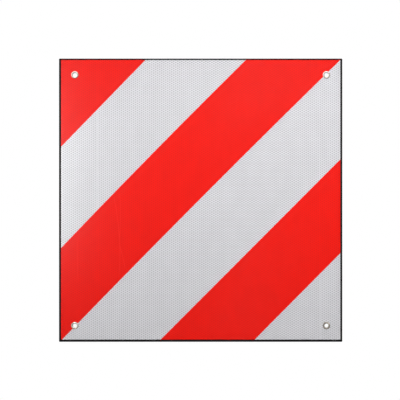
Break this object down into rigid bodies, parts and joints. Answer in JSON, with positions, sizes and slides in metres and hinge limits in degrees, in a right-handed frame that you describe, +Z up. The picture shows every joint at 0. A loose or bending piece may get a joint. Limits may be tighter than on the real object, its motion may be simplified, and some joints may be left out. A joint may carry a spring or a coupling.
{
  "type": "overhanging load sign",
  "caption": "Square sign board for an overhanging load, with slanted red and white reflective fields, a black edge and an eyelet near each corner for tying on.",
  "frame": {"origin": "centre of the pattern of eyelets, in the plane of the board's back face", "axes": "+Z up and +X to the right as the sign hangs, -Y out of its printed face towards the viewer"},
  "size_m": [0.5, 0.0055, 0.5],
  "materials": {
    "black_plastic": "satin",
    "white_reflective_sheet": "satin",
    "red_film": "satin",
    "nickel_plate": "satin"
  },
  "bodies": {
    "root": {"backing_board": "black_plastic", "reflective_sheet": "white_reflective_sheet", "red_field_upper": "red_film", "red_field_middle": "red_film", "red_field_lower": "red_film", "eyelet_top_left": "nickel_plate", "eyelet_top_right": "nickel_plate", "eyelet_bottom_left": "nickel_plate", "eyelet_bottom_right": "nickel_plate", "washer_top_left": "nickel_plate", "washer_top_right": "nickel_plate", "washer_bottom_left": "nickel_plate", "washer_bottom_right": "nickel_plate"}
  },
  "joints": []
}
